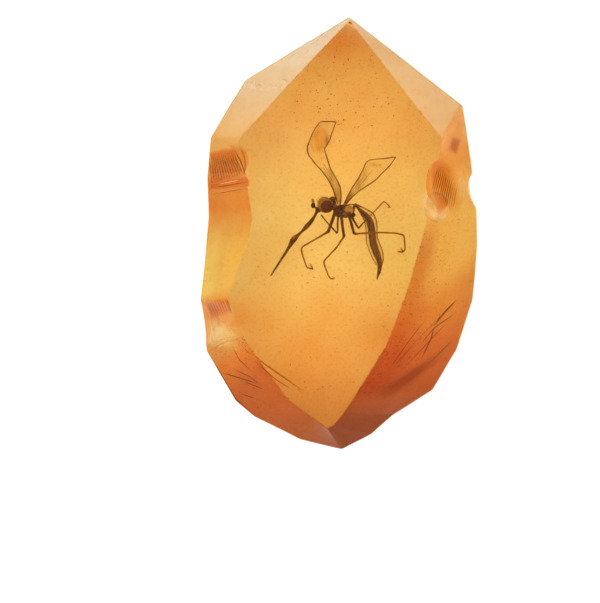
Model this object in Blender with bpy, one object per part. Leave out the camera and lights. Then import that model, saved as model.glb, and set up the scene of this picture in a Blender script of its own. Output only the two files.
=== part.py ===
# Mosquito in amber: a faceted nugget lying on its flat back, and the insect sealed in it.
# The nugget is parted at the insect's mid depth, so that the sealed pocket can be a real hollow.
# X runs across the nugget, Y along it to the pointed end, Z up from the flat back that it lies on.

import math

import bmesh
import bpy
from mathutils import Matrix, Vector

MM = 0.001  # every size below is in millimetres

# Driving dimensions of the nugget
FRONT_HEIGHT = 66.0       # the broad front face above the flat back
CREASE_Y = 41.4           # where the front face starts to fall away to the pointed end
CREASE_FALL = 0.36        # height lost for each millimetre past the crease
BACK_INSET = 0.93         # size of the flat back against the girdle
PARTING_HEIGHT = 42.0     # plane that parts the two halves, through the insect
PARTING_GAP = 0.3
POCKET_LOW = (-33.5, -24.0, 29.0)
POCKET_HIGH = (32.5, 53.5, 54.0)
POCKET_BEVEL = 6.0
BLOCK_SIZE = 400.0        # larger than the nugget in every direction

# Corners of the facets, clockwise from the pointed end as seen from the front.
# Each row holds the front edge's x and y, then the girdle's x, y and height.
FACET_CORNERS = (
    (4.5, 93.5, 4.5, 96.75, 45.0),
    (45.9, 41.4, 55.1, 56.7, 51.0),
    (43.6, 30.2, 59.2, 30.6, 52.0),
    (38.2, 2.2, 61.7, 8.8, 48.0),
    (30.4, -25.6, 62.1, -5.4, 45.0),
    (20.3, -51.3, 59.8, -30.2, 45.0),
    (14.8, -59.9, 52.7, -52.6, 45.0),
    (7.6, -71.6, 41.8, -70.6, 46.0),
    (1.3, -81.0, 24.3, -81.5, 49.0),
    (-2.7, -86.0, 14.4, -90.0, 52.0),
    (-5.4, -87.4, 1.1, -96.75, 55.0),
    (-12.2, -82.4, -17.6, -92.3, 55.0),
    (-23.0, -74.2, -37.9, -82.4, 51.0),
    (-33.3, -60.3, -46.5, -75.2, 49.0),
    (-42.8, -47.2, -59.4, -53.1, 51.0),
    (-49.5, -28.8, -61.9, -30.2, 54.0),
    (-45.4, -16.6, -61.0, -21.6, 52.0),
    (-41.0, -4.5, -59.8, -7.6, 50.0),
    (-38.7, 5.8, -58.6, 6.8, 49.0),
    (-41.4, 23.8, -59.2, 24.1, 51.0),
    (-45.0, 41.4, -57.4, 42.5, 54.0),
    (-22.0, 67.0, -42.3, 68.2, 46.0),
)
LAST_FRONT_CORNER = 20    # the crease runs from this corner to corner 1

# Chips broken out of the edges: centre, three radii, and the turn about X, Y and Z in degrees
ROUND_CHIPS = {
    "right_oval_chip": ((47.5, 18.0, 68.0), (9.0, 15.0, 10.0), (0, 0, 14)),
    "right_shell_chip": ((42.8, 11.0, 69.0), (7.0, 7.0, 7.0), (0, 0, 0)),
    "right_small_pit": ((51.2, 38.8, 61.4), (1.9, 3.2, 2.6), (0, 0, -20)),
    "right_side_bite": ((75.5, 20.5, 46.0), (18.5, 13.5, 26.0), (0, 0, 0)),
}
# Troughs that run from the front edge down to the girdle: the ends of the axis, and its radius
TROUGH_CHIPS = {
    "left_upper_trough": ((-38.0, 31.9, 83.3), (-80.0, 29.1, 47.9), 12.0),
    "left_upper_notch": ((-36.2, 22.3, 73.2), (-66.8, 19.9, 47.4), 3.6),
    "left_lower_trough": ((-47.8, -36.2, 88.9), (-83.6, -46.1, 40.9), 15.0),
}
CHIP_SIDES = 32

# The insect, drawn side-on: x and y as above, and the height above the parting plane
HEAD = ((-6.7, 12.7, 0.0), (3.7, 3.6, 3.4))
EYE = ((-5.8, 11.9, 1.3), (3.1, 3.1, 2.6))
FACE_KNOB = ((-11.7, 12.2, 0.4), (1.1, 1.3, 1.1))
FACE_BASE = ((-9.6, 9.9, 0.2), (1.3, 1.2, 1.2))
NECK_HUMP = ((-3.0, 14.8, 0.0), (1.9, 1.8, 1.8))
THORAX_FRONT = ((0.4, 10.0, 0.0), (3.1, 2.8, 2.7))
THORAX_BACK = ((4.4, 10.3, 0.0), (2.9, 2.4, 2.3))
WAIST = ((7.0, 12.0, 0.0), (1.3, 1.2, 1.2))

# Routes with a radius at each point: x, y, height above the parting plane, radius
NECK = ((-6.5, 12.8, 0.0, 1.2), (0.4, 10.2, 0.0, 1.4))
KNOB_STALK = ((-11.5, 12.1, 0.4, 0.5), (-9.4, 10.2, 0.3, 0.7), (-7.0, 11.6, 0.2, 0.9))
PROBOSCIS = (
    (-8.4, 10.8, 0.2, 1.0), (-9.6, 9.4, 0.3, 0.9), (-11.3, 6.7, 0.6, 0.7), (-13.3, 3.6, 1.0, 0.8),
    (-15.9, 0.6, 1.4, 0.75), (-19.0, -2.0, 1.8, 0.8), (-20.4, -3.2, 2.0, 1.1),
    (-21.6, -4.8, 2.2, 1.05), (-23.1, -7.6, 2.4, 0.8), (-25.7, -11.7, 2.8, 0.6),
    (-28.3, -15.9, 3.2, 0.5), (-30.2, -19.0, 3.4, 0.3),
)
ABDOMEN = (
    (5.0, 11.0, 0.0, 1.1), (7.1, 12.0, 0.0, 1.0), (8.9, 10.5, 0.0, 1.1), (11.4, 7.2, 0.0, 1.7),
    (13.4, 3.6, 0.0, 2.2), (14.7, -1.3, 0.0, 2.5), (16.0, -5.6, 0.0, 2.7), (17.2, -9.2, 0.0, 2.5),
    (17.9, -12.6, 0.0, 1.9), (17.6, -17.0, 0.0, 1.0), (16.7, -20.8, 0.0, 0.35),
)
LEGS = {
    "near_front_leg": (
        (-1.6, 10.0, 1.2, 0.75), (-2.6, 7.6, 2.2, 0.75), (-5.1, 0.1, 4.2, 0.65), (-10.8, -3.0, 5.0, 0.4),
        (-17.0, -7.4, 5.6, 0.35), (-15.9, -12.3, 5.2, 0.35), (-14.8, -15.6, 5.0, 0.35),
        (-12.4, -16.5, 4.8, 0.35),
    ),
    "near_middle_leg": (
        (0.8, 9.0, 1.4, 0.75), (1.0, 6.5, 2.6, 0.75), (1.9, -2.0, 5.0, 0.65), (-1.4, -7.6, 5.8, 0.4),
        (-6.9, -13.0, 6.4, 0.35), (-5.6, -17.5, 6.0, 0.35), (-4.3, -20.0, 5.8, 0.35),
        (-2.5, -20.5, 5.6, 0.35),
    ),
    "near_hind_leg": (
        (4.2, 9.4, 1.2, 0.75), (4.6, 7.0, 2.4, 0.75), (6.7, -0.7, 4.6, 0.65), (12.5, -0.4, 5.2, 0.4),
        (19.2, -0.2, 5.4, 0.35), (24.9, -0.5, 5.4, 0.35), (28.4, -1.5, 5.2, 0.35),
        (29.0, -5.4, 5.0, 0.35), (28.3, -7.9, 4.8, 0.35), (26.5, -8.5, 4.8, 0.35),
    ),
    "far_front_leg": (
        (-0.4, 9.6, -1.4, 0.6), (-0.5, 6.3, -2.4, 0.55), (-1.0, -0.4, -4.4, 0.45), (-3.0, 1.6, -5.0, 0.35),
        (-5.1, 3.7, -5.4, 0.35), (-7.9, 7.3, -5.6, 0.35),
    ),
    "far_middle_leg": (
        (5.0, 9.6, -1.2, 0.6), (5.8, 7.3, -2.2, 0.55), (8.3, 1.6, -4.4, 0.45), (10.4, 3.7, -5.2, 0.35),
        (16.1, 9.6, -5.6, 0.35), (20.0, 13.9, -5.6, 0.35), (22.3, 11.6, -5.4, 0.35),
    ),
    "far_hind_leg": (
        (6.4, 11.6, -0.6, 0.6), (10.4, 10.9, -2.0, 0.5), (15.3, 8.5, -3.4, 0.45), (16.3, 5.6, -3.8, 0.35),
        (17.6, 0.6, -4.0, 0.35), (19.6, -6.6, -4.0, 0.35), (20.0, -11.0, -3.8, 0.35),
        (18.4, -17.0, -2.6, 0.35),
    ),
}

# Wing outlines, x and y, and how far each wing leans out of the parting plane
LEFT_WING = (
    (0.6, 11.5), (1.0, 16.2), (0.4, 20.3), (-0.9, 23.4), (-4.0, 29.0), (-5.1, 32.6), (-6.5, 38.2),
    (-4.5, 42.4), (-1.2, 50.2), (-8.4, 50.3), (-11.8, 44.0), (-13.8, 39.8), (-13.3, 36.2),
    (-11.3, 32.6), (-7.6, 27.4), (-4.5, 23.4), (-2.5, 19.8), (-1.4, 16.2), (-0.8, 11.5),
)
RIGHT_WING = (
    (1.6, 11.5), (3.7, 16.2), (5.8, 20.3), (10.9, 29.0), (13.0, 32.6), (14.9, 33.3), (18.7, 33.7),
    (25.2, 34.2), (23.4, 31.0), (20.3, 27.9), (16.6, 24.1), (13.0, 21.6), (8.9, 18.7), (6.3, 16.9),
    (3.6, 14.5), (3.0, 11.5),
)
WING_THICKNESS = 0.7
WING_HINGE = (1.2, 12.0)
WING_LEAN = math.radians(7)

BALL_SEGMENTS = 16
BALL_RINGS = 10
LIMB_RESOLUTION = 1       # gives a limb six sides
ABDOMEN_RESOLUTION = 4    # gives the abdomen twelve sides
WELD_DISTANCE = 0.00001

AMBER_COLOUR = (0.83, 0.36, 0.06, 1.0)
INSECT_COLOUR = (0.09, 0.035, 0.018, 1.0)


def clear_scene():
    for obj in list(bpy.data.objects):
        bpy.data.objects.remove(obj)


def new_collection(name):
    collection = bpy.data.collections.new(name)
    bpy.context.scene.collection.children.link(collection)
    return collection


def new_material(name, colour, roughness):
    material = bpy.data.materials.new(name)
    material.use_nodes = True
    shader = material.node_tree.nodes["Principled BSDF"]
    shader.inputs["Base Color"].default_value = colour
    shader.inputs["Roughness"].default_value = roughness
    shader.inputs["Metallic"].default_value = 0.0
    return material


def object_from_bmesh(name, bm, collection):
    mesh = bpy.data.meshes.new(name)
    bm.to_mesh(mesh)
    bm.free()
    obj = bpy.data.objects.new(name, mesh)
    collection.objects.link(obj)
    return obj


def hide_guide(obj):
    obj.hide_render = True
    obj.display_type = "WIRE"


def add_boolean(obj, other, operation):
    modifier = obj.modifiers.new(other.name, "BOOLEAN")
    modifier.operation = operation
    modifier.solver = "EXACT"
    modifier.object = other


def front_height(y):
    return FRONT_HEIGHT - CREASE_FALL * max(0.0, y - CREASE_Y)


def nugget_bmesh():
    """Loft of three unlike rings: the front edge, the girdle and the flat back."""
    bm = bmesh.new()
    front, girdle, back = [], [], []
    for front_x, front_y, girdle_x, girdle_y, girdle_z in FACET_CORNERS:
        front.append(bm.verts.new(Vector((front_x, front_y, front_height(front_y))) * MM))
        girdle.append(bm.verts.new(Vector((girdle_x, girdle_y, girdle_z)) * MM))
        back.append(bm.verts.new(Vector((girdle_x * BACK_INSET, girdle_y * BACK_INSET, 0.0)) * MM))
    bm.faces.new(front[1:LAST_FRONT_CORNER + 1])
    bm.faces.new(front[LAST_FRONT_CORNER:] + front[:2])
    bm.faces.new(back)
    count = len(FACET_CORNERS)
    for upper, lower in ((front, girdle), (girdle, back)):
        for here in range(count):
            beyond = (here + 1) % count
            bm.faces.new((upper[here], upper[beyond], lower[beyond], lower[here]))
    bmesh.ops.triangulate(bm, faces=bm.faces)
    bmesh.ops.recalc_face_normals(bm, faces=bm.faces)
    return bm


def ball(name, centre, radii, collection, turn=(0, 0, 0), segments=BALL_SEGMENTS, rings=BALL_RINGS):
    """Ellipsoid with its place in its mesh."""
    bm = bmesh.new()
    bmesh.ops.create_uvsphere(bm, u_segments=segments, v_segments=rings, radius=1.0)
    angles = [math.radians(angle) for angle in turn]
    turned = Matrix.Rotation(angles[2], 4, "Z") @ Matrix.Rotation(angles[1], 4, "Y")
    turned = turned @ Matrix.Rotation(angles[0], 4, "X")
    sized = Matrix.Diagonal((radii[0] * MM, radii[1] * MM, radii[2] * MM, 1.0))
    placed = Matrix.Translation(Vector(centre) * MM) @ turned @ sized
    bmesh.ops.transform(bm, matrix=placed, verts=bm.verts)
    return object_from_bmesh(name, bm, collection)


def trough(name, start, end, radius, collection):
    """Round bar between two points, which cuts a trough."""
    start, end = Vector(start) * MM, Vector(end) * MM
    bm = bmesh.new()
    bmesh.ops.create_cone(bm, cap_ends=True, segments=CHIP_SIDES, radius1=radius * MM,
                          radius2=radius * MM, depth=(end - start).length)
    turned = (end - start).to_track_quat("Z", "Y").to_matrix().to_4x4()
    bmesh.ops.transform(bm, matrix=Matrix.Translation((start + end) / 2) @ turned, verts=bm.verts)
    return object_from_bmesh(name, bm, collection)


def block(name, low, high, collection, bevel=0.0):
    bm = bmesh.new()
    bmesh.ops.create_cube(bm, size=1.0)
    size = Vector(high) - Vector(low)
    middle = (Vector(high) + Vector(low)) / 2
    bmesh.ops.scale(bm, vec=size * MM, verts=bm.verts)
    bmesh.ops.translate(bm, vec=middle * MM, verts=bm.verts)
    if bevel:
        bmesh.ops.bevel(bm, geom=bm.edges[:], offset=bevel * MM, segments=2, profile=0.5,
                        affect="EDGES")
    return object_from_bmesh(name, bm, collection)


def mesh_from_curve(obj, collection):
    """Mesh copy of a curve with its caps welded; the curve is removed."""
    bpy.context.view_layer.update()
    evaluated = obj.evaluated_get(bpy.context.evaluated_depsgraph_get())
    mesh = bpy.data.meshes.new_from_object(evaluated)
    bm = bmesh.new()
    bm.from_mesh(mesh)
    bmesh.ops.remove_doubles(bm, verts=bm.verts, dist=WELD_DISTANCE)
    bmesh.ops.recalc_face_normals(bm, faces=bm.faces)
    bm.to_mesh(mesh)
    bm.free()
    name = obj.name
    placed = obj.matrix_world.copy()
    bpy.data.objects.remove(obj)
    piece = bpy.data.objects.new(name, mesh)
    piece.matrix_world = placed
    collection.objects.link(piece)
    return piece


def limb(name, route, collection, resolution=LIMB_RESOLUTION):
    """Round limb along a route whose thickness changes from point to point."""
    curve = bpy.data.curves.new(name, "CURVE")
    curve.dimensions = "3D"
    curve.bevel_depth = MM
    curve.bevel_resolution = resolution
    curve.use_fill_caps = True
    spline = curve.splines.new("POLY")
    spline.points.add(len(route) - 1)
    for point, (x, y, height, radius) in zip(spline.points, route):
        point.co = (x * MM, y * MM, (PARTING_HEIGHT + height) * MM, 1.0)
        point.radius = radius
    obj = bpy.data.objects.new(name, curve)
    collection.objects.link(obj)
    return mesh_from_curve(obj, collection)


def wing(name, outline, lean, collection):
    """Flat wing cut from its outline, leaning about its hinge out of the parting plane."""
    curve = bpy.data.curves.new(name, "CURVE")
    curve.dimensions = "2D"
    curve.fill_mode = "BOTH"
    curve.extrude = WING_THICKNESS / 2 * MM
    spline = curve.splines.new("POLY")
    spline.points.add(len(outline) - 1)
    spline.use_cyclic_u = True
    for point, (x, y) in zip(spline.points, outline):
        point.co = ((x - WING_HINGE[0]) * MM, (y - WING_HINGE[1]) * MM, 0.0, 1.0)
    obj = bpy.data.objects.new(name, curve)
    obj.location = (WING_HINGE[0] * MM, WING_HINGE[1] * MM, PARTING_HEIGHT * MM)
    obj.rotation_euler = (lean, 0.0, 0.0)
    collection.objects.link(obj)
    return mesh_from_curve(obj, collection)


def above_parting(place):
    x, y, height = place
    return (x, y, PARTING_HEIGHT + height)


def build_amber(parts, cutters):
    chips = []
    for name, (centre, radii, turn) in ROUND_CHIPS.items():
        chips.append(ball(name, centre, radii, cutters, turn, CHIP_SIDES, CHIP_SIDES // 2))
    for name, (start, end, radius) in TROUGH_CHIPS.items():
        chips.append(trough(name, start, end, radius, cutters))
    pocket = block("insect_pocket", POCKET_LOW, POCKET_HIGH, cutters, POCKET_BEVEL)
    reach = BLOCK_SIZE / 2
    above = PARTING_HEIGHT + PARTING_GAP / 2
    below = PARTING_HEIGHT - PARTING_GAP / 2
    behind = block("space_behind", (-reach, -reach, above - BLOCK_SIZE), (reach, reach, above), cutters)
    before = block("space_before", (-reach, -reach, below), (reach, reach, below + BLOCK_SIZE), cutters)
    amber = new_material("amber", AMBER_COLOUR, 0.08)
    for name, other_side in (("amber_front_half", behind), ("amber_back_half", before)):
        half = object_from_bmesh(name, nugget_bmesh(), parts)
        half.data.materials.append(amber)
        for chip in chips:
            add_boolean(half, chip, "DIFFERENCE")
        add_boolean(half, pocket, "DIFFERENCE")
        add_boolean(half, other_side, "DIFFERENCE")
    for guide in chips + [pocket, behind, before]:
        hide_guide(guide)


def build_mosquito(parts, cutters):
    pieces = []
    for name, (centre, radii) in (("head", HEAD), ("eye", EYE), ("face_knob", FACE_KNOB),
                                  ("face_base", FACE_BASE), ("neck_hump", NECK_HUMP),
                                  ("thorax_back", THORAX_BACK), ("waist", WAIST)):
        pieces.append(ball(name, above_parting(centre), radii, cutters))
    pieces.append(limb("neck", NECK, cutters))
    pieces.append(limb("knob_stalk", KNOB_STALK, cutters))
    pieces.append(limb("proboscis", PROBOSCIS, cutters, ABDOMEN_RESOLUTION))
    pieces.append(limb("abdomen", ABDOMEN, cutters, ABDOMEN_RESOLUTION))
    for name, route in LEGS.items():
        pieces.append(limb(name, route, cutters))
    pieces.append(wing("left_wing", LEFT_WING, WING_LEAN, cutters))
    pieces.append(wing("right_wing", RIGHT_WING, -WING_LEAN, cutters))
    centre, radii = THORAX_FRONT
    body = ball("mosquito", above_parting(centre), radii, parts)
    body.data.materials.append(new_material("insect", INSECT_COLOUR, 0.5))
    for piece in pieces:
        add_boolean(body, piece, "UNION")
        hide_guide(piece)


def main():
    clear_scene()
    parts = new_collection("mosquito_in_amber")
    cutters = new_collection("cutters")
    build_amber(parts, cutters)
    build_mosquito(parts, cutters)


main()
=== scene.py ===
import math

import bpy
import numpy as np
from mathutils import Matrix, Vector
from mathutils.bvhtree import BVHTree


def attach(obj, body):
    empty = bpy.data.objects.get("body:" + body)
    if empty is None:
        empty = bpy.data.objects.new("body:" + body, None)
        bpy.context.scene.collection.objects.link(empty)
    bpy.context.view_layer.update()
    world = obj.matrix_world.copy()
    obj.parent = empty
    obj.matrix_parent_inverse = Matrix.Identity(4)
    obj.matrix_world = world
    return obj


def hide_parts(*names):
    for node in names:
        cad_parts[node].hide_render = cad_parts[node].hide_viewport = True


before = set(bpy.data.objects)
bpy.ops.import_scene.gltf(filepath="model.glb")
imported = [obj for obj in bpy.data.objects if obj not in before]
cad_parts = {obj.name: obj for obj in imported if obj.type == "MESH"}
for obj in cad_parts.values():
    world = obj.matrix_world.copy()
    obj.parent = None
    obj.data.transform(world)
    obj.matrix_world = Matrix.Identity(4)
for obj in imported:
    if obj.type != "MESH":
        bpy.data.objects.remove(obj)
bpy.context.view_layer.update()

mm = 0.001            # every size in the dictionaries is in millimetres
print("frame loaded:", sorted(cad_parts))


# Camera: straight down on the nugget's front from over two metres, with the nugget up and to the right
view = dict(x=-17.5, y=-30.8, height=2300.0, widthSeen=270.0, planeHeight=40.0, sensor=36.0)


def placed(name, data):
    # a new object in the scene
    thing = bpy.data.objects.new(name, data)
    bpy.context.scene.collection.objects.link(thing)
    return thing


cameraData = bpy.data.cameras.new("camera")
camera = placed("camera", cameraData)
camera.location = (view["x"] * mm, view["y"] * mm, view["height"] * mm)
cameraData.sensor_width = view["sensor"]
cameraData.lens = view["sensor"] * (view["height"] - view["planeHeight"]) / view["widthSeen"]
cameraData.clip_start = 0.01
bpy.context.scene.camera = camera
print("camera set")


# Mesh helpers

def smooth(value, low, high):
    # 0 below low, 1 above high, an S curve between
    share = np.clip((value - low) / (high - low), 0.0, 1.0)
    return share * share * (3.0 - 2.0 * share)


def unit(vectors):
    # each vector divided by its length
    return vectors / np.maximum(np.linalg.norm(vectors, axis=-1, keepdims=True), 1e-9)


def towards(colour, weight):
    # from white at weight 0 to the colour at weight 1
    return 1.0 - weight[..., None] * (1.0 - np.array(colour))


def nearness(points, centre, sizes):
    # 1 at the centre, as seen from above, falling off like a bell over the sizes
    away = (points[..., :2] - np.array(centre)) / np.array(sizes)
    return np.exp(-(away ** 2).sum(axis=-1))


def turned(x, y, degrees):
    # x and y read along two lines turned by an angle
    angle = math.radians(degrees)
    return x * math.cos(angle) + y * math.sin(angle), y * math.cos(angle) - x * math.sin(angle)


def fullTurn(count):
    # evenly spaced angles all the way round
    return np.linspace(0.0, 2.0 * math.pi, count, endpoint=False)


def readTable(at, known, table):
    # each column of a table, straight between its rows
    return np.stack([np.interp(at, known, column) for column in np.array(table, float).T], axis=-1)


def lengthsAlong(points):
    # length of a line of points up to each of them
    return np.concatenate([[0.0], np.cumsum(np.linalg.norm(np.diff(points, axis=0), axis=1))])


def alongLine(line, share):
    # points at shares of a line's length
    length = lengthsAlong(np.array(line))
    return readTable(share, length / length[-1], line)


def gridFaces(rows, columns, wrap):
    # quads between neighbouring rows and columns of points numbered row by row
    row = np.arange(rows - 1)[:, None]
    column = np.arange(columns if wrap else columns - 1)[None, :]
    beyond = (column + 1) % columns
    quads = np.stack([row * columns + column, row * columns + beyond,
                      (row + 1) * columns + beyond, (row + 1) * columns + column], axis=-1)
    return quads.reshape(-1, 4)


def outward(vertices, faces):
    # the signed volume of fans from the origin tells which way the faces point
    volume = 0.0
    for block in faces:
        a, b = vertices[block[:, 0]], vertices[block[:, 1]]
        for third in range(2, block.shape[1]):
            c = vertices[block[:, third]]
            volume += (a * np.cross(b, c)).sum()
            b = c
    return faces if volume > 0.0 else [block[:, ::-1] for block in faces]


def closedGrid(rings, first, last):
    # rings[row, column] of points round a body, closed by a fan to a single point at each end
    rows, columns = rings.shape[:2]
    vertices = np.vstack([first, rings.reshape(-1, 3), last])
    ring = np.arange(columns)
    beyond = (ring + 1) % columns
    lowest = 1 + (rows - 1) * columns
    topFan = np.stack([np.zeros(columns, int), 1 + beyond, 1 + ring], axis=-1)
    bottomFan = np.stack([np.full(columns, len(vertices) - 1), lowest + ring, lowest + beyond], axis=-1)
    return vertices, outward(vertices, [gridFaces(rows, columns, wrap=True) + 1, topFan, bottomFan])


def sheet(points, thickness):
    # a grid of points as a closed sheet: an upper side, a lower side and a rim
    rows, columns = points.shape[:2]
    lift = np.array([0.0, 0.0, thickness / 2.0])
    count = rows * columns
    top = gridFaces(rows, columns, wrap=False)
    index = np.arange(count).reshape(rows, columns)
    rim = np.concatenate([index[0], index[1:, -1], index[-1, -2::-1], index[-2:0:-1, 0]])
    beyond = np.roll(rim, -1)
    sideFaces = np.stack([rim, rim + count, beyond + count, beyond], axis=-1)
    flat = points.reshape(-1, 3)
    vertices = np.vstack([flat + lift, flat - lift])
    return vertices, outward(vertices, [top, top[:, ::-1] + count, sideFaces])


def makePiece(name, parts, material, nodes=("mosquito",)):
    # one mesh of (shape, colour) pairs; a colour is one for the whole shape or one for each point
    vertices, faces, colours = [], [], []
    start = 0
    for (points, blocks), colour in parts:
        vertices.append(points)
        faces += [face for block in blocks for face in (block + start).tolist()]
        colours.append(np.broadcast_to(colour, (len(points), np.shape(colour)[-1])))
        start += len(points)
    mesh = bpy.data.meshes.new(name)
    mesh.from_pydata((np.vstack(vertices) * mm).tolist(), [], faces)
    mesh.materials.append(material)
    mesh.polygons.foreach_set("use_smooth", np.full(len(mesh.polygons), True))
    colours = np.vstack(colours)
    rgba = np.ones((start, 4), np.float32)
    rgba[:, :colours.shape[1]] = colours
    mesh.attributes.new("tint", "FLOAT_COLOR", "POINT").data.foreach_set("color", rgba.ravel())
    mesh.update()
    piece = placed(name, mesh)
    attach(piece, "root")
    if nodes:
        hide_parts(*nodes)
    print(name, len(faces), "faces")


def ellipsoid(centre, radii, rows, columns, lumpDepth, lumpCount):
    # latitude and longitude on a sphere, stretched to the radii, with low lumps
    latitude = np.linspace(0.0, math.pi, rows)[:, None]
    longitude = fullTurn(columns)[None, :]
    direction = np.stack([np.sin(latitude) * np.cos(longitude), np.sin(latitude) * np.sin(longitude),
                          np.cos(latitude) + 0.0 * longitude], axis=-1)
    lumps = np.prod(np.sin(lumpCount * direction + np.array([1.0, 2.0, 0.5])), axis=-1)
    points = np.array(centre) + direction * np.array(radii) * (1.0 + lumpDepth * lumps)[..., None]
    return closedGrid(points[1:-1], points[0, 0], points[-1, 0])


def softRoute(route, step, rounding):
    # the route's points joined by straight lines, read every step, then averaged over a window
    points = np.array(route, float)
    length = lengthsAlong(points[:, :3])
    places = np.linspace(0.0, length[-1], max(3, int(length[-1] / step) + 1))
    window = rounding * np.linspace(-1.0, 1.0, 7)
    reach = np.minimum(1.0, np.minimum(places, length[-1] - places) / rounding)
    read = places[:, None] + window[None, :] * reach[:, None]
    return readTable(read, length, points).mean(axis=1), places / length[-1]


def tube(route, sides, step, rounding, swell=None):
    # circles of the route's radius round a softened route, closed by a point at each end;
    # swell(share along, angle) may thicken or thin them
    line, share = softRoute(route, step, rounding)
    centre, radius = line[:, :3], line[:, 3]
    tangent = unit(np.gradient(centre, axis=0))
    side = unit(np.cross(tangent, np.array([0.0, 0.0, 1.0])))
    up = np.cross(side, tangent)
    angle = fullTurn(sides)
    size = radius[:, None] * np.ones(sides)
    if swell:
        size = size * swell(share[:, None], angle[None, :])
    around = np.cos(angle)[:, None] * side[:, None] + np.sin(angle)[:, None] * up[:, None]
    overhang = 0.8 * radius[:, None] * tangent
    return closedGrid(centre[:, None] + size[..., None] * around, centre[0] - overhang[0],
                      centre[-1] + overhang[-1])


# Material helpers

def setInputs(node, values):
    # constants straight on a node's inputs
    for name, value in values.items():
        node.inputs[name].default_value = value


def newMaterial(name, values):
    # a material, its tree of nodes, and its shader's inputs with the constant ones set
    material = bpy.data.materials.new(name)
    material.use_nodes = True
    shader = material.node_tree.nodes["Principled BSDF"]
    setInputs(shader, values)
    return material, material.node_tree, shader.inputs


def noiseOf(tree, scale, detail):
    # noise on the piece's own coordinates; scale is in waves a metre
    place = tree.nodes.new("ShaderNodeTexCoord")
    noise = tree.nodes.new("ShaderNodeTexNoise")
    setInputs(noise, {"Scale": scale, "Detail": detail, "Roughness": 0.55})
    tree.links.new(place.outputs["Object"], noise.inputs["Vector"])
    return noise.outputs["Fac"]


def flecksOf(tree, scale, stops, detail=4.0):
    # colour by noise: each stop is a value of the noise and the colour there
    ramp = tree.nodes.new("ShaderNodeValToRGB")
    for element, (place, colour) in zip(ramp.color_ramp.elements, stops):
        element.position = place
        element.color = (*colour, 1.0)
    tree.links.new(noiseOf(tree, scale, detail), ramp.inputs["Fac"])
    return ramp.outputs["Color"]


def timesOf(tree, first, second):
    # two colours multiplied
    mix = tree.nodes.new("ShaderNodeMix")
    mix.data_type = "RGBA"
    mix.blend_type = "MULTIPLY"
    mix.inputs["Factor"].default_value = 1.0
    tree.links.new(first, mix.inputs["A"])
    tree.links.new(second, mix.inputs["B"])
    return mix.outputs["Result"]


def bumpsOf(tree, scale, depth):
    # small bumps by noise, with a depth in millimetres
    bump = tree.nodes.new("ShaderNodeBump")
    setInputs(bump, {"Distance": depth * mm, "Strength": 1.0})
    tree.links.new(noiseOf(tree, scale, 3.0), bump.inputs["Height"])
    return bump.outputs["Normal"]


def pieceTint(tree):
    # colour and alpha as makePiece stored them on the mesh
    tint = tree.nodes.new("ShaderNodeAttribute")
    tint.attribute_name = "tint"
    return tint.outputs


def tintedMaterial(name, look):
    # the piece's tint times flecks of noise; fine bumps and the tint's alpha where the look has them
    values = {"Roughness": look["roughness"], "Specular IOR Level": look["shine"]}
    material, tree, inputs = newMaterial(name, values)
    tint = pieceTint(tree)
    flecks = flecksOf(tree, look["fleckScale"], look["flecks"])
    tree.links.new(timesOf(tree, tint["Color"], flecks), inputs["Base Color"])
    if look.get("seeThrough"):
        tree.links.new(tint["Alpha"], inputs["Alpha"])
    if "grainScale" in look:
        tree.links.new(bumpsOf(tree, look["grainScale"], look["grainDepth"]), inputs["Normal"])
    return material


# Nugget: the same corners as the CAD, but for a front edge that runs nearer to the tip,
# clockwise from the pointed end: front edge x and y, then girdle x, y and height
nugget = dict(
    frontHeight=66.0, creaseY=41.4, creaseFall=0.36, creaseSoftness=1.6, backInset=0.93,
    edgeRounding=0.7, heart=(0.0, 0.0, 34.0), waviness=0.16, gridStep=2.4,
    # stretches of s and of t with a finer grid: from, to and step
    fineAround=((44.0, 108.0, 0.5), (308.0, 348.0, 0.5), (376.0, 416.0, 0.5)),
    fineAcross=((36.0, 92.0, 0.6),),
    profile=(0.0, 50.0, 85.0, 120.0, 165.0),   # front centre, front edge, girdle, back edge, back centre
    corners=(
        (4.5, 95.6, 4.5, 96.75, 45.0), (45.9, 41.4, 55.1, 56.7, 51.0), (43.6, 30.2, 59.2, 30.6, 52.0),
        (38.2, 2.2, 61.7, 8.8, 48.0), (30.4, -25.6, 62.1, -5.4, 45.0), (20.3, -51.3, 59.8, -30.2, 45.0),
        (14.8, -59.9, 52.7, -52.6, 45.0), (7.6, -71.6, 41.8, -70.6, 46.0),
        (1.3, -81.0, 24.3, -81.5, 49.0), (-2.7, -86.0, 14.4, -90.0, 52.0),
        (-5.4, -87.4, 1.1, -96.75, 55.0), (-12.2, -82.4, -17.6, -92.3, 55.0),
        (-23.0, -74.2, -37.9, -82.4, 51.0), (-33.3, -60.3, -46.5, -75.2, 49.0),
        (-42.8, -47.2, -59.4, -53.1, 51.0), (-49.5, -28.8, -61.9, -30.2, 54.0),
        (-45.4, -16.6, -61.0, -21.6, 52.0), (-41.0, -4.5, -59.8, -7.6, 50.0),
        (-38.7, 5.8, -58.6, 6.8, 49.0), (-41.4, 23.8, -59.2, 24.1, 51.0),
        (-45.0, 41.4, -57.4, 42.5, 54.0), (-22.0, 67.0, -42.3, 68.2, 46.0),
    ),
)

cornerTable = np.array(nugget["corners"])
girdlePlaces = lengthsAlong(np.vstack([cornerTable[:, 2:4], cornerTable[:1, 2:4]]))
cornerPlace, girdleLength = girdlePlaces[:-1], girdlePlaces[-1]   # length round the girdle to each corner
frontEdge, girdle, backEdge, backCentre = nugget["profile"][1:]
heart = np.array(nugget["heart"])


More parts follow.
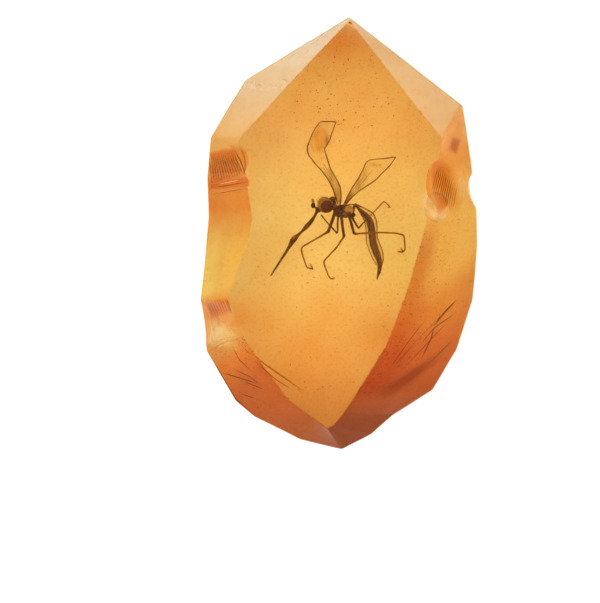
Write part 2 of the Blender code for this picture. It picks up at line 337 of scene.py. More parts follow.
def frontHeight(y):
    # flat, then falling past the crease; a soft plus keeps the crease gentle
    past = (y - nugget["creaseY"]) / nugget["creaseSoftness"]
    return nugget["frontHeight"] - nugget["creaseFall"] * nugget["creaseSoftness"] * np.logaddexp(0.0, past)


def sharpNugget(s, t):
    # straight blends outwards from the front's centre to its edge, to the girdle, to the back's edge
    # and in to the back's centre; s runs round the girdle and t along that profile
    fx, fy, gx, gy, gz = [np.interp(s, cornerPlace, row, period=girdleLength) for row in cornerTable.T]
    ends = nugget["profile"]
    front, side, under, back = [np.clip((t - start) / (end - start), 0.0, 1.0)
                                for start, end in zip(ends, ends[1:])]
    shrink = (1.0 - (1.0 - nugget["backInset"]) * under) * (1.0 - back)
    edgeHeight = frontHeight(fy)
    z = np.where(t < frontEdge, frontHeight(front * fy), edgeHeight + side * (gz - edgeHeight) - under * gz)
    return np.stack([(front * fx + side * (gx - fx)) * shrink, (front * fy + side * (gy - fy)) * shrink, z],
                    axis=-1)


def roundedNugget(s, t):
    # the mean of the sharp shape over a small window of s and t, which rounds every edge
    window = nugget["edgeRounding"] * np.linspace(-1.0, 1.0, 5)
    return sum(sharpNugget(s + ds, t + dt) for ds in window for dt in window) / len(window) ** 2


def gridPlaces(length, windows, edges):
    # even steps from 0 to the length, finer in each window, with close rows at each edge
    found = [np.arange(0.0, length, nugget["gridStep"])]
    for start, end, fine in windows:
        found = [p[(p < start) | (p > end)] for p in found]
        found.append(np.arange(start, end, fine))
    close = nugget["edgeRounding"] * np.linspace(-1.5, 1.5, 5)
    found.append((np.array(edges)[:, None] + close).ravel() % length)
    merged = np.unique(np.concatenate(found))
    return merged[np.concatenate([[True], np.diff(merged) > 0.1])]


# Chips: hollows cut by round bodies and bars, as in the CAD; a point inside one moves to its wall,
# along the straight line from the nugget's heart. Tint is what the wall lets through.
roundChips = (
    dict(centre=(47.5, 18.0, 68.0), radii=(9.0, 15.0, 10.0), turn=14.0, tint=(0.92, 0.58, 0.22)),
    dict(centre=(42.8, 11.0, 69.0), radii=(7.0, 7.0, 7.0), turn=0.0, tint=(1.0, 0.88, 0.72)),
    dict(centre=(51.2, 38.8, 61.4), radii=(1.9, 3.2, 2.6), turn=-20.0, tint=(0.80, 0.50, 0.30)),
    dict(centre=(75.5, 20.5, 46.0), radii=(18.5, 13.5, 26.0), turn=0.0, tint=(1.0, 0.97, 0.9)),
)
barChips = (
    dict(start=(-38.0, 31.9, 83.3), end=(-80.0, 29.1, 47.9), radius=12.0, tint=(0.88, 0.40, 0.08),
         ribDepth=0.06, ribShade=0.2),
    dict(start=(-36.2, 22.3, 73.2), end=(-66.8, 19.9, 47.4), radius=3.6, tint=(0.90, 0.48, 0.12)),
    dict(start=(-47.8, -36.2, 88.9), end=(-83.6, -46.1, 40.9), radius=15.0, tint=(1.0, 0.92, 0.80)),
)
chipLip, ribPitch = 0.7, 1.5   # depth at which a chip has its full tint, and the spacing of its ribs


def rayEntry(a, b, c):
    # nearer root of a r r + b r + c = 0, where the ray from the heart goes into a hollow; 1 if it misses
    inside = b * b - 4.0 * a * c
    root = (-b - np.sqrt(np.maximum(inside, 0.0))) / (2.0 * a)
    return np.where((inside > 0.0) & (root > 0.0), np.minimum(root, 1.0), 1.0)


def carve(points):
    # each point's nearest wall, with that wall's tint and low ribs
    ray = points - heart
    far = np.linalg.norm(ray, axis=-1)
    nearest = np.ones(points.shape[:-1])
    tint = np.ones(points.shape)
    for chip in roundChips + barChips:
        if "radii" in chip:
            radii = np.array(chip["radii"])
            way = np.stack([*turned(ray[..., 0], ray[..., 1], chip["turn"]), ray[..., 2]], axis=-1) / radii
            x, y, z = heart - np.array(chip["centre"])
            origin = np.array([*turned(x, y, chip["turn"]), z]) / radii
            size, wave = 1.0, 0.0 * far
        else:
            start = np.array(chip["start"])
            axis = unit(np.array(chip["end"]) - start)
            origin = heart - start
            origin = origin - axis * (origin @ axis)
            way = ray - axis * (ray @ axis)[..., None]
            size, wave = chip["radius"], np.sin(2.0 * math.pi * ((points - start) @ axis) / ribPitch)
        root = rayEntry((way * way).sum(-1), 2.0 * (way @ origin), origin @ origin - size ** 2)
        held = smooth((1.0 - root) * far, 0.0, chipLip)
        shade = 1.0 - chip.get("ribShade", 0.0) * np.maximum(wave, 0.0) ** 2
        coloured = towards(np.array(chip["tint"]) * shade[..., None], held)
        root = np.where(root < 1.0, root + held * chip.get("ribDepth", 0.0) * wave / far, 1.0)
        tint = np.where((root < nearest)[..., None], coloured, tint)
        nearest = np.minimum(nearest, root)
    return heart + ray * nearest[..., None], tint


def sunk(points, depth):
    # points moved inwards, towards the nugget's heart
    return points - unit(points - heart) * depth


def nuggetSkin(s, t):
    # the rounded shape with slow polish waves, none at the resting face, and then the chips
    points = roundedNugget(s, t)
    x, y, z = points[..., 0], points[..., 1], points[..., 2]
    broad = np.sin(x / 9.0 + 1.3) * np.sin(y / 12.0 + 0.4)
    narrow = 0.6 * np.sin(x / 4.1 + y / 5.3)
    fade = smooth(z, 2.0, 12.0) * nugget["waviness"]
    return carve(sunk(points, (fade * (1.0 + (broad + narrow) / 1.6))[..., None]))


s = gridPlaces(girdleLength, nugget["fineAround"], cornerPlace)
t = gridPlaces(backCentre, nugget["fineAcross"], [frontEdge, girdle, backEdge])
s, t = s[None, :], np.append(t, backCentre)[:, None]
surface, chipTint = nuggetSkin(s, t)


# Tint: what each part of the skin lets through, so that the clear body looks yellow in the middle,
# orange towards the point and red-brown at the lower end
resinTint = dict(
    # heights up the front face and the colour there
    front=(
        (-86.0, (0.80, 0.38, 0.17)), (-60.0, (0.96, 0.64, 0.37)), (-38.0, (0.95, 0.73, 0.47)),
        (-20.0, (1.0, 0.98, 0.82)), (8.0, (1.0, 1.0, 0.85)), (27.0, (0.97, 0.84, 0.57)),
        (45.0, (0.96, 0.70, 0.46)), (72.0, (1.0, 0.62, 0.235)), (84.0, (1.0, 0.44, 0.12)),
        (89.0, (1.0, 0.44, 0.12)), (95.0, (1.0, 0.62, 0.26)),
    ),
    # centre, size and what a round spot of the front face lets through
    spots=(((0.5, 84.5), 9.0, (1.0, 0.60, 0.38)), ((4.0, 47.2), 4.5, (0.98, 0.78, 0.66)),
           ((6.0, 56.0), 10.0, (0.96, 0.90, 0.90)), ((-26.0, 40.0), 12.0, (1.0, 1.0, 1.18)),
           ((27.0, -12.0), 13.0, (1.0, 0.99, 0.74)), ((-41.0, -38.0), 8.0, (1.0, 0.74, 0.58)),
           ((-29.0, -63.0), 9.0, (1.0, 0.80, 0.60)), ((20.0, -42.0), 8.0, (0.95, 0.76, 0.64)),
           ((-46.0, -36.0), 6.0, (1.0, 0.80, 0.66)), ((-31.5, -44.0), 4.0, (1.0, 0.84, 0.72)),
           ((-19.0, 58.4), 3.5, (1.0, 0.86, 0.76)), ((-22.0, -51.2), 4.5, (1.0, 0.87, 0.78)),
           ((-2.7, -30.2), 5.5, (1.0, 0.88, 0.80)), ((-13.0, -49.6), 5.0, (0.98, 0.88, 0.80)),
           ((-38.0, -50.0), 6.0, (1.0, 0.78, 0.68))),
    # centre, half sizes, turn in degrees and what a four-cornered or oval patch lets through
    patches=(
        ((-54.0, -33.6), (5.4, 3.6), 12.0, (0.98, 0.38, 0.09)),
        ((-52.2, -46.0), (8.0, 5.2), -12.0, (1.14, 1.95, 3.8)),
        ((51.1, 38.7), (2.1, 3.5), -20.0, (0.46, 0.17, 0.06)),
        ((47.3, 19.6), (5.8, 10.8), 14.0, (0.84, 0.45, 0.20)),
        ((42.9, 11.4), (6.0, 6.2), 0.0, (1.10, 1.42, 2.4)),
        ((58.5, 48.0), (4.0, 9.0), 8.0, (1.06, 1.35, 1.7)),
    ),
    # a dark wedge beside the front edge: how s brings it in and out, and its widths there
    wedge=dict(colour=(0.64, 0.24, 0.06), rise=(108.0, 120.0), fall=(190.0, 210.0), s=(112.0, 190.0),
               widths=(9.0, 18.0)),
    # a dark line along the front edge above the scoop: how y brings it in and out
    line=dict(colour=(0.45, 0.16, 0.05), rise=(25.0, 26.0), fall=(36.0, 37.0), width=1.1),
    # places round the girdle and the colour of the side facet there
    sides=(
        (0.0, (0.95, 0.82, 0.72)), (30.0, (0.98, 0.88, 0.80)), (62.0, (0.97, 0.84, 0.74)),
        (66.0, (0.92, 0.46, 0.18)), (88.0, (0.87, 0.38, 0.10)), (100.0, (0.93, 0.62, 0.22)),
        (114.0, (0.94, 0.70, 0.26)), (130.0, (0.95, 0.58, 0.17)), (143.0, (0.80, 0.26, 0.055)),
        (165.0, (0.68, 0.11, 0.03)), (190.0, (0.40, 0.045, 0.012)), (217.0, (0.16, 0.018, 0.006)),
        (240.0, (0.11, 0.012, 0.004)), (262.0, (0.28, 0.05, 0.012)), (300.0, (0.50, 0.070, 0.009)),
        (314.0, (0.80, 0.17, 0.02)), (322.0, (0.80, 0.36, 0.12)), (346.0, (0.90, 0.46, 0.12)),
        (350.0, (1.0, 0.92, 0.24)), (370.0, (1.0, 0.80, 0.27)), (388.0, (0.75, 0.21, 0.03)),
        (402.0, (0.80, 0.28, 0.05)), (407.0, (1.0, 0.80, 0.30)), (422.0, (0.96, 0.74, 0.46)),
        (446.0, (1.0, 0.96, 0.92)), (480.0, (1.0, 1.0, 1.0)), (504.0, (0.97, 0.88, 0.80)),
    ),
)


def between(value, band):
    # 1 where a value is past the band's rise and before its fall
    return smooth(value, *band["rise"]) * (1.0 - smooth(value, *band["fall"]))


def readStops(stops, value):
    # the colour at a value, straight between the stops
    return readTable(value, [place for place, colour in stops], [colour for place, colour in stops])


def tintOf(points, s, t):
    # front and sides by their stops, times each spot, the wedge, the line and each patch; a clear back
    wedge, line = resinTint["wedge"], resinTint["line"]
    x, y = points[..., 0], points[..., 1]
    front = readStops(resinTint["front"], y)
    for centre, size, colour in resinTint["spots"]:
        front = front * towards(colour, nearness(points, centre, size))
    beyond = t - frontEdge
    wedgeShape = np.exp(-(beyond / np.interp(s, wedge["s"], wedge["widths"])) ** 4)
    lineShape = np.exp(-((beyond - 1.0) / line["width"]) ** 2) * (x < 0.0)
    sides = readStops(resinTint["sides"], s) * towards(wedge["colour"], wedgeShape * between(s, wedge))
    sides = sides * towards(line["colour"], lineShape * between(y, line))
    onSide = smooth(t, frontEdge - 0.5, frontEdge + 0.5)[..., None]
    onBack = smooth(t, girdle + 2.0, girdle + 14.0)[..., None]
    skin = front * (1.0 - onSide) + sides * onSide
    for (patchX, patchY), (wide, high), turn, colour in resinTint["patches"]:
        across, up = turned(x - patchX, y - patchY, turn)
        skin = skin * towards(colour, np.exp(-(across / wide) ** 6 - (up / high) ** 6))
    return skin * (1.0 - onBack) + onBack


skinTint = tintOf(surface, s, t) * chipTint
skinTint = np.vstack([skinTint[0, :1], skinTint[1:-1].reshape(-1, 3), skinTint[-1, :1]])


# Amber: clear resin that swallows blue first and then green
white = (1.0, 1.0, 1.0)
amberLook = dict(
    inputs={"Roughness": 0.03, "IOR": 1.54, "Specular Tint": (0.4, 0.25, 0.1, 1.0),
            "Transmission Weight": 1.0},
    absorb={"Color": (0.988, 0.79, 0.14, 1.0), "Density": 12.5}, polishScale=55.0, polishDepth=0.35,
    # scale, stops and detail of the clouds and of the fine grain
    flecks=((34.0, ((0.36, (0.96, 0.87, 0.77)), (0.62, white)), 4.0),
            (760.0, ((0.30, (0.90, 0.80, 0.68)), (0.46, white)), 2.0)),
)


def amberMaterial():
    # the skin's tint times both noises, over a body that absorbs
    material, tree, inputs = newMaterial("clearAmber", amberLook["inputs"])
    colour = pieceTint(tree)["Color"]
    for noise in amberLook["flecks"]:
        colour = timesOf(tree, colour, flecksOf(tree, *noise))
    tree.links.new(colour, inputs["Base Color"])
    tree.links.new(bumpsOf(tree, amberLook["polishScale"], amberLook["polishDepth"]), inputs["Normal"])
    absorb = tree.nodes.new("ShaderNodeVolumeAbsorption")
    setInputs(absorb, amberLook["absorb"])
    tree.links.new(absorb.outputs["Volume"], tree.nodes["Material Output"].inputs["Volume"])
    return material


amberShape = closedGrid(surface[1:-1], surface[0].mean(axis=0), surface[-1].mean(axis=0))
makePiece("amberNugget", [(amberShape, skinTint)], amberMaterial(),
          ("amber_front_half", "amber_back_half"))
skinTree = BVHTree.FromPolygons(amberShape[0].tolist(),
                                [face for block in amberShape[1] for face in block.tolist()])


def underSkin(route, depth):
    # points at a depth straight below the skin, seen from above, for (x, y) places
    down = Vector((0.0, 0.0, -1.0))
    heights = [skinTree.ray_cast(Vector((x, y, 100.0)), down)[0][2] for x, y in route]
    return np.column_stack([route, np.array(heights) - depth])


# Films just under the skin, cloudy ones and ones that paint in light and shade: pale ones follow stretches
# of s and t, with their cover read along s; pools are round or four-cornered, placed by x and y as seen
# from above
films = dict(
    inset=1.1, squareDepth=0.6, roundDepth=0.5, thickness=0.08, rows=30, columns=90, grid=22,
    look=dict(fleckScale=260.0, flecks=((0.30, (0.93, 0.88, 0.80)), (0.62, white)), roughness=0.8,
              shine=0.0, seeThrough=True),
    bands=(
        # the first two bands are a frosted layer under the upper facets that also paints in their pale
        # reflection of the sky
        dict(s=(404.0, 506.0), t=(50.9, 84.6), colour=(0.95, 0.88, 0.76),
             cover=((404.0, 0.0), (418.0, 0.06), (424.0, 0.14), (445.0, 0.28), (470.0, 0.36),
                    (506.0, 0.34))),
        dict(s=(2.0, 64.0), t=(50.9, 84.6), colour=(0.95, 0.86, 0.72),
             cover=((2.0, 0.22), (30.0, 0.20), (56.0, 0.26), (64.0, 0.20))),
        dict(s=(322.0, 402.0), t=(66.0, 84.6), colour=(1.0, 0.90, 0.66), fadeIn=16.0,
             cover=((322.0, 0.2), (335.0, 0.55), (346.0, 0.3), (376.0, 0.26), (392.0, 0.26),
                    (402.0, 0.1))),
        dict(s=(65.0, 112.0), t=(70.0, 84.6), colour=(1.0, 0.90, 0.70), fadeIn=12.0,
             cover=((65.0, 0.3), (76.0, 0.25), (100.0, 0.25), (112.0, 0.0))),
    ),
    # four corners in turn
    squares=(
        dict(corners=((-57.2, 35.5), (-46.4, 37.0), (-41.9, 24.8), (-57.4, 21.8)),
             colour=(1.0, 0.52, 0.03), cover=0.36, soft=0.08),
        dict(corners=((-57.0, -39.0), (-50.5, -39.8), (-43.2, -46.8), (-58.3, -52.4)),
             colour=(1.0, 0.90, 0.66), cover=0.4, soft=0.3),
        # a dark band across the lower end is a painted shadow
        dict(corners=((12.0, -72.0), (50.4, -48.0), (48.5, -56.3), (15.6, -80.0)),
             colour=(0.60, 0.12, 0.01), cover=0.35, soft=0.45),
    ),
    rounds=(
        dict(centre=(42.9, 11.3), radii=(5.6, 6.6), colour=(1.0, 0.84, 0.68), cover=0.6, rim=0.45),
        # a pale strip beside the bite is a painted highlight
        dict(centre=(54.6, 19.4), radii=(2.4, 9.0), colour=(1.0, 0.93, 0.80), cover=0.28, rim=0.0),
    ),
)
filmParts = []


def addFilm(points, colour, cover):
    # the sheet's colour with its cover as alpha, the same on the upper and the lower side
    rgba = np.column_stack([np.tile(colour, (cover.size, 1)), cover.ravel()])
    filmParts.append((sheet(points, films["thickness"]), np.vstack([rgba, rgba])))


def addFlatFilm(route, depth, colour, cover):
    # a film whose points are given by x and y as seen from above
    addFilm(underSkin(route.reshape(-1, 2), depth).reshape(*route.shape[:2], 3), colour, cover)


for band in films["bands"]:
    along, down = np.meshgrid(np.linspace(*band["s"], films["columns"]),
                              np.linspace(*band["t"], films["rows"]))
    inset = films["inset"] * (1.0 - 0.6 * smooth(down, girdle - 7.0, girdle))
    points = sunk(nuggetSkin(along % girdleLength, down)[0], inset[..., None])
    fade = smooth(down, band["t"][0], band["t"][0] + band["fadeIn"]) if "fadeIn" in band else 1.0
    addFilm(points, band["colour"], fade * np.interp(along, *zip(*band["cover"])))
u, v = np.meshgrid(*[np.linspace(0.0, 1.0, films["grid"])] * 2)
for square in films["squares"]:
    # straight blends between the four corners
    a, b, c, d = np.array(square["corners"])
    across, down = u[..., None], v[..., None]
    route = (a * (1 - across) + b * across) * (1 - down) + (d * (1 - across) + c * across) * down
    soft = [smooth(np.minimum(share, 1.0 - share), 0.0, square["soft"]) for share in (u, v)]
    addFlatFilm(route, films["squareDepth"], square["colour"], square["cover"] * soft[0] * soft[1])
for pool in films["rounds"]:
    # a square grid bent to a disc and stretched to the radii
    p, q = 2.0 * u - 1.0, 2.0 * v - 1.0
    disc = np.stack([p * np.sqrt(1.0 - q * q / 2.0), q * np.sqrt(1.0 - p * p / 2.0)], axis=-1)
    route = np.array(pool["centre"]) + disc * np.array(pool["radii"])
    cover = pool["cover"] + (pool["rim"] - pool["cover"]) * (disc ** 2).sum(axis=-1) ** 2
    addFlatFilm(route, films["roundDepth"], pool["colour"], cover)
# one piece for every film: cloudy layers, a painted reflection, a painted highlight and a painted shadow
makePiece("filmsOfCloudAndPaintedLight", filmParts, tintedMaterial("filmOfCloudAndPaintedLight", films["look"]), ())


# Threads just under the skin: ribs fanned between two lines as painted shade, cracks,
# a painted shadow under a ledge and pale lines as painted highlights along the chips' ledges
threads = dict(
    depth=0.3, rib=(0.12, 0.04, 0.006), brown=(0.60, 0.22, 0.04), dark=(0.20, 0.055, 0.01),
    pale=(1.0, 0.66, 0.26),
    look=dict(fleckScale=900.0, flecks=((0.30, (0.75, 0.70, 0.65)), (0.62, white)), roughness=0.6,
              shine=0.0, seeThrough=True),
    # each fan's dark threads paint the shade of a chip's ribs
    fans=(
        dict(top=((-57.8, 33.0), (-47.2, 35.4)), bottom=((-56.8, 22.2), (-42.4, 25.2)), count=13,
             radius=0.15),
        dict(top=((-59.2, -30.2), (-50.6, -29.8)), bottom=((-55.4, -38.4), (-48.2, -35.8)), count=8,
             radius=0.13),
        dict(top=((43.9, 29.4), (52.4, 21.4)), bottom=((40.6, 17.4), (50.2, 9.6)), count=12, radius=0.12),
    ),
    # radius and route of each dark line, then of each brown and pale one
    darkLines=(
        # after the first, the next two lines are painted shadow under the scoop's ledge
        (0.28, ((-46.4, 36.5), (-43.6, 31.0), (-41.6, 25.5))), (0.13, ((-56.7, 19.8), (-40.7, 22.1))),
        (0.10, ((-55.4, 17.1), (-40.3, 19.4))), (0.24, ((-50.0, -29.3), (-47.7, -36.0))),
        (0.24, ((-52.0, -62.5), (-45.5, -64.4), (-36.5, -67.1))),
        (0.18, ((-47.5, -60.5), (-40.0, -64.0), (-34.5, -68.0))),
        (0.18, ((-42.5, -66.2), (-33.5, -69.8))), (0.15, ((-44.0, -71.8), (-37.5, -73.8))),
        (0.26, ((-58.4, -53.6), (-45.9, -74.6), (-37.5, -81.4))),
        (0.38, ((52.2, -30.2), (46.8, -35.6), (42.3, -41.4))),
        (0.22, ((42.3, -41.4), (41.0, -46.8), (36.5, -56.3))),
        (0.18, ((52.2, -35.6), (41.9, -42.8), (36.0, -50.0))),
        (0.15, ((38.7, -38.3), (31.0, -48.0), (23.0, -59.4))),
        (0.15, ((51.6, -47.0), (38.7, -59.4))), (0.12, ((50.0, -38.0), (30.0, -59.0))),
    ),
    brownLines=(
        (0.34, ((-44.0, -49.5), (-41.0, -52.7), (-31.1, -59.9), (-16.2, -70.2))),
        (0.24, ((-37.3, -57.2), (-28.4, -65.2), (-20.2, -70.4))),
        (0.22, ((-48.0, -49.8), (-44.5, -56.5), (-38.0, -62.5))),
        (0.30, ((50.6, -31.8), (38.0, -44.5), (24.5, -59.0))),
    ),
    # pale lines are painted highlights along the chips' ledges
    paleLines=(
        (0.26, ((-57.0, 20.9), (-41.4, 23.7))), (0.26, ((-57.3, -52.2), (-43.4, -46.8))),
        (0.22, ((38.6, 6.4), (42.4, 5.2), (46.6, 8.0))),
    ),
)
threadParts = []


def addThread(route, radius, colour):
    # a tube along the route, pinched at both ends
    line, share = softRoute([(x, y, 0.0, radius) for x, y in route], step=0.8, rounding=0.8)
    points = underSkin(line[:, :2], threads["depth"])
    pinch = radius * np.clip(4.0 * np.minimum(share, 1.0 - share), 0.25, 1.0)
    thread = tube(np.column_stack([points, pinch]), sides=6, step=0.8, rounding=0.4)
    threadParts.append((thread, threads[colour]))


for fan in threads["fans"]:
    for share in np.linspace(0.0, 1.0, fan["count"]):
        addThread([alongLine(fan[end], share) for end in ("top", "bottom")], fan["radius"], "rib")
for tone in ("dark", "brown", "pale"):
    for radius, route in threads[tone + "Lines"]:
        addThread(route, radius, tone)
makePiece("threads", threadParts, tintedMaterial("thread", threads["look"]), ())


# Insect: its pieces lie about the plane that parts the CAD's halves; heights are above that plane
insectPlane = 42.0


def lifted(route):
    # route points (x, y, height above the plane, radius) as points in the nugget
    return [(x, y, insectPlane + height, radius) for x, y, height, radius in route]


# Chitin of three kinds; its flecks are values of the noise and the gain there
shell = tintedMaterial("insectShell", dict(
    fleckScale=900.0, flecks=((0.32, (0.62, 0.58, 0.55)), (0.66, (1.25, 1.2, 1.1))), roughness=0.42,
    grainScale=2600.0, grainDepth=0.05, shine=0.08))
legShell = tintedMaterial("insectLegs", dict(
    fleckScale=1400.0, flecks=((0.32, (0.7, 0.62, 0.55)), (0.66, (1.2, 1.15, 1.1))), roughness=0.45,
    grainScale=3200.0, grainDepth=0.04, shine=0.05))
membrane = tintedMaterial("insectMembrane", dict(
    fleckScale=420.0, flecks=((0.32, (0.78, 0.72, 0.62)), (0.66, (1.12, 1.1, 1.05))), roughness=0.3,
    grainScale=1100.0, grainDepth=0.05, shine=0.05, seeThrough=True))


# Body: balls by centre, radii, colour, and the depth and count of their lumps
bodyBalls = (
    # head, the two knobs before the face and the root of the snout
    ((-6.5, 12.3, 0.0), (3.4, 3.6, 3.1), (0.34, 0.18, 0.05), 0.05, 9.0),
    ((-11.8, 12.0, 0.4), (0.95, 1.25, 1.0), (0.06, 0.02, 0.01), 0.10, 5.0),
    ((-11.9, 14.0, 0.4), (0.6, 1.0, 0.6), (0.34, 0.17, 0.04), 0.15, 5.0),
    ((-9.6, 9.9, 0.2), (1.3, 1.25, 1.15), (0.06, 0.02, 0.01), 0.10, 5.0),
    # hump of the neck
    ((-3.1, 14.9, 0.0), (1.6, 1.2, 1.5), (0.14, 0.06, 0.02), 0.14, 6.0),
    ((-2.2, 13.0, 0.0), (0.8, 1.6, 1.4), (0.07, 0.025, 0.012), 0.10, 6.0),
    # front and back of the thorax
    ((-0.4, 9.4, 0.0), (2.4, 2.6, 2.6), (0.09, 0.024, 0.016), 0.08, 7.0),
    ((1.2, 10.9, 0.0), (2.1, 1.4, 2.2), (0.06, 0.02, 0.01), 0.10, 7.0),
    ((2.6, 8.3, 0.2), (2.1, 1.8, 2.3), (0.20, 0.075, 0.03), 0.08, 7.0),
    ((4.1, 9.9, 0.0), (2.5, 2.2, 2.3), (0.48, 0.25, 0.08), 0.06, 7.0),
    ((6.4, 7.8, 0.0), (1.0, 1.0, 1.2), (0.08, 0.03, 0.01), 0.08, 7.0),
)
# routes and colours of the joins: neck, knob, waist and back
bodyTubes = (
    (((-4.8, 12.6, 0.0, 1.5), (-1.8, 11.0, 0.0, 1.5), (0.0, 10.2, 0.0, 1.4)), (0.14, 0.06, 0.03)),
    (((-11.6, 11.6, 0.4, 0.4), (-10.4, 10.8, 0.4, 0.5), (-9.0, 10.6, 0.2, 0.7)), (0.12, 0.05, 0.02)),
    (((6.0, 8.2, 0.2, 0.62), (6.5, 10.3, 0.2, 0.6), (7.1, 12.4, 0.1, 0.66), (7.6, 12.7, 0.1, 0.5)),
     (0.10, 0.04, 0.02)),
    (((2.4, 11.8, 1.0, 0.3), (4.8, 12.5, 0.9, 0.3), (7.1, 12.6, 0.4, 0.3)), (0.14, 0.06, 0.02)),
)
bodyParts = []
for (x, y, height), radii, colour, lumpDepth, lumpCount in bodyBalls:
    ball = ellipsoid((x, y, insectPlane + height), radii, 40, 52, lumpDepth, lumpCount)
    bodyParts.append((ball, colour))
for route, colour in bodyTubes:
    bodyParts.append((tube(lifted(route), sides=14, step=0.3, rounding=0.5), colour))
makePiece("insectBody", bodyParts, shell)


# Eyes: dark and faceted, one each side of the head
eyes = dict(centre=(-5.75, 11.55), height=1.9, radii=(2.75, 2.8, 2.5), rows=90, columns=120,
            facetDepth=0.02, facetCount=46.0, colour=(0.10, 0.024, 0.013))
eyeParts = []
for side in (1.0, -1.0):
    centre = (*eyes["centre"], insectPlane + side * eyes["height"])
    eye = ellipsoid(centre, eyes["radii"], eyes["rows"], eyes["columns"], eyes["facetDepth"],
                    eyes["facetCount"])
    eyeParts.append((eye, eyes["colour"]))
makePiece("insectEyes", eyeParts, shell)


# Snout: a long tapering sheath with two swellings and a painted highlight on each
snout = dict(
    route=((-9.4, 10.4, 0.2, 0.85), (-10.0, 9.2, 0.3, 0.8), (-11.1, 7.0, 0.6, 0.6),
           (-12.4, 5.0, 0.9, 0.85), (-13.9, 3.3, 1.1, 1.05), (-15.3, 1.7, 1.3, 0.85),
           (-17.3, -0.2, 1.6, 0.55), (-18.6, -1.4, 1.8, 0.7), (-19.9, -2.6, 2.0, 1.35),
           (-20.7, -3.6, 2.1, 1.4), (-21.7, -5.4, 2.2, 1.0), (-22.9, -7.4, 2.4, 0.7),
           (-25.7, -11.8, 2.8, 0.5), (-28.3, -16.0, 3.2, 0.42), (-30.3, -19.2, 3.4, 0.34)),
    colour=(0.11, 0.034, 0.008), ringCount=34.0, ringDepth=0.05, ridgeDepth=0.04,
    # spots: centre, size and gain of a painted highlight on each swelling
    spots=(((-20.6, -1.9), 0.8, (3.2, 3.4, 3.2)), ((-14.1, 3.1), 0.5, (2.6, 2.8, 2.6))),
)


def snoutSwell(share, angle):
    # fine rings along it, and three low ridges
    rings = snout["ringDepth"] * np.sin(2.0 * math.pi * snout["ringCount"] * share)
    return 1.0 + rings + snout["ridgeDepth"] * np.cos(3.0 * angle)


snoutShape = tube(lifted(snout["route"]), sides=20, step=0.2, rounding=0.6, swell=snoutSwell)
snoutColours = np.array(snout["colour"])
# painted highlights brighten the swellings
for centre, size, gain in snout["spots"]:
    snoutColours = snoutColours * towards(gain, nearness(snoutShape[0], centre, size))
makePiece("insectSnout", [(snoutShape, snoutColours)], shell)


# Abdomen: a dark segmented core inside a thin clear sheath
abdomen = dict(
    route=((7.6, 12.4, 0.0, 0.5), (8.8, 10.6, 0.0, 0.75), (10.6, 8.8, 0.0, 1.1), (12.6, 6.9, 0.0, 1.45),
           (14.0, 4.2, 0.0, 1.6), (14.7, 0.0, 0.0, 1.7), (15.2, -4.6, 0.0, 1.65),
           (16.4, -8.6, 0.0, 1.75), (17.6, -11.6, 0.0, 1.35), (18.0, -14.4, 0.0, 1.05),
           (17.7, -17.2, 0.0, 0.95), (16.9, -20.0, 0.0, 0.4), (16.7, -21.0, 0.0, 0.25)),
    colour=(0.07, 0.018, 0.011), streak=(3.6, 3.4, 2.6), segments=8.0, segmentDepth=0.05,
    ridges=9.0, ridgeDepth=0.04,
)


def abdomenSwell(share, angle):
    # rounded segments along it and low ridges round it
    step = np.abs(np.sin(math.pi * abdomen["segments"] * share))
    ridge = np.cos(abdomen["ridges"] * angle + 3.0 * share)
    return 1.0 + abdomen["segmentDepth"] * (step - 0.6) + abdomen["ridgeDepth"] * ridge


abdomenShape = tube(lifted(abdomen["route"]), sides=36, step=0.18, rounding=0.9, swell=abdomenSwell)
x, y, z = abdomenShape[0].T
core = np.array(abdomen["route"])
ridgePlace = np.arctan2(z - insectPlane, x - np.interp(-y, -core[:, 1], core[:, 0]))
streaks = smooth(np.sin(5.0 * ridgePlace + 0.3 * y), 0.5, 1.0)
abdomenColours = np.array(abdomen["colour"]) * towards(abdomen["streak"], streaks)
makePiece("insectAbdomen", [(abdomenShape, abdomenColours)], shell)

sheath = dict(
    left=((8.2, 11.6), (9.6, 8.6), (11.3, 5.0), (11.9, 1.8), (12.1, -4.0), (13.2, -7.9), (14.9, -11.9),
          (16.4, -14.4), (16.9, -17.5), (16.7, -20.6)),
    right=((8.2, 12.5), (11.9, 10.6), (15.4, 8.3), (16.6, 5.7), (17.1, 2.2), (17.1, -2.2), (18.3, -5.4),
           (19.6, -8.8), (19.6, -11.9), (18.7, -15.4), (17.8, -18.9), (17.0, -20.8)),
    depth=1.9, softness=0.02, rows=90, columns=28, colour=(0.66, 0.38, 0.10), cover=0.12,
)


def sheathShape():
    # ellipses across from the left edge to the right edge, closed by a point at each end
    share = np.linspace(0.0, 1.0, sheath["rows"])
    window = sheath["softness"] * np.linspace(-1.0, 1.0, 7)
    read = np.clip(share[:, None] + window[None, :], 0.0, 1.0)
    left, right = [alongLine(sheath[side], read).mean(axis=1) for side in ("left", "right")]
    middle, half = (left + right) / 2.0, (right - left) / 2.0
    depth = sheath["depth"] * np.sin(math.pi * share) ** 0.6
    angle = fullTurn(sheath["columns"])
    flat = middle[:, None] + half[:, None] * np.cos(angle)[None, :, None]
    height = insectPlane + depth[:, None] * np.sin(angle)[None, :]
    rings = np.concatenate([flat, height[..., None]], axis=-1)
    return closedGrid(rings, rings[0].mean(axis=0), rings[-1].mean(axis=0))


makePiece("insectSheath", [(sheathShape(), (*sheath["colour"], sheath["cover"]))], membrane)


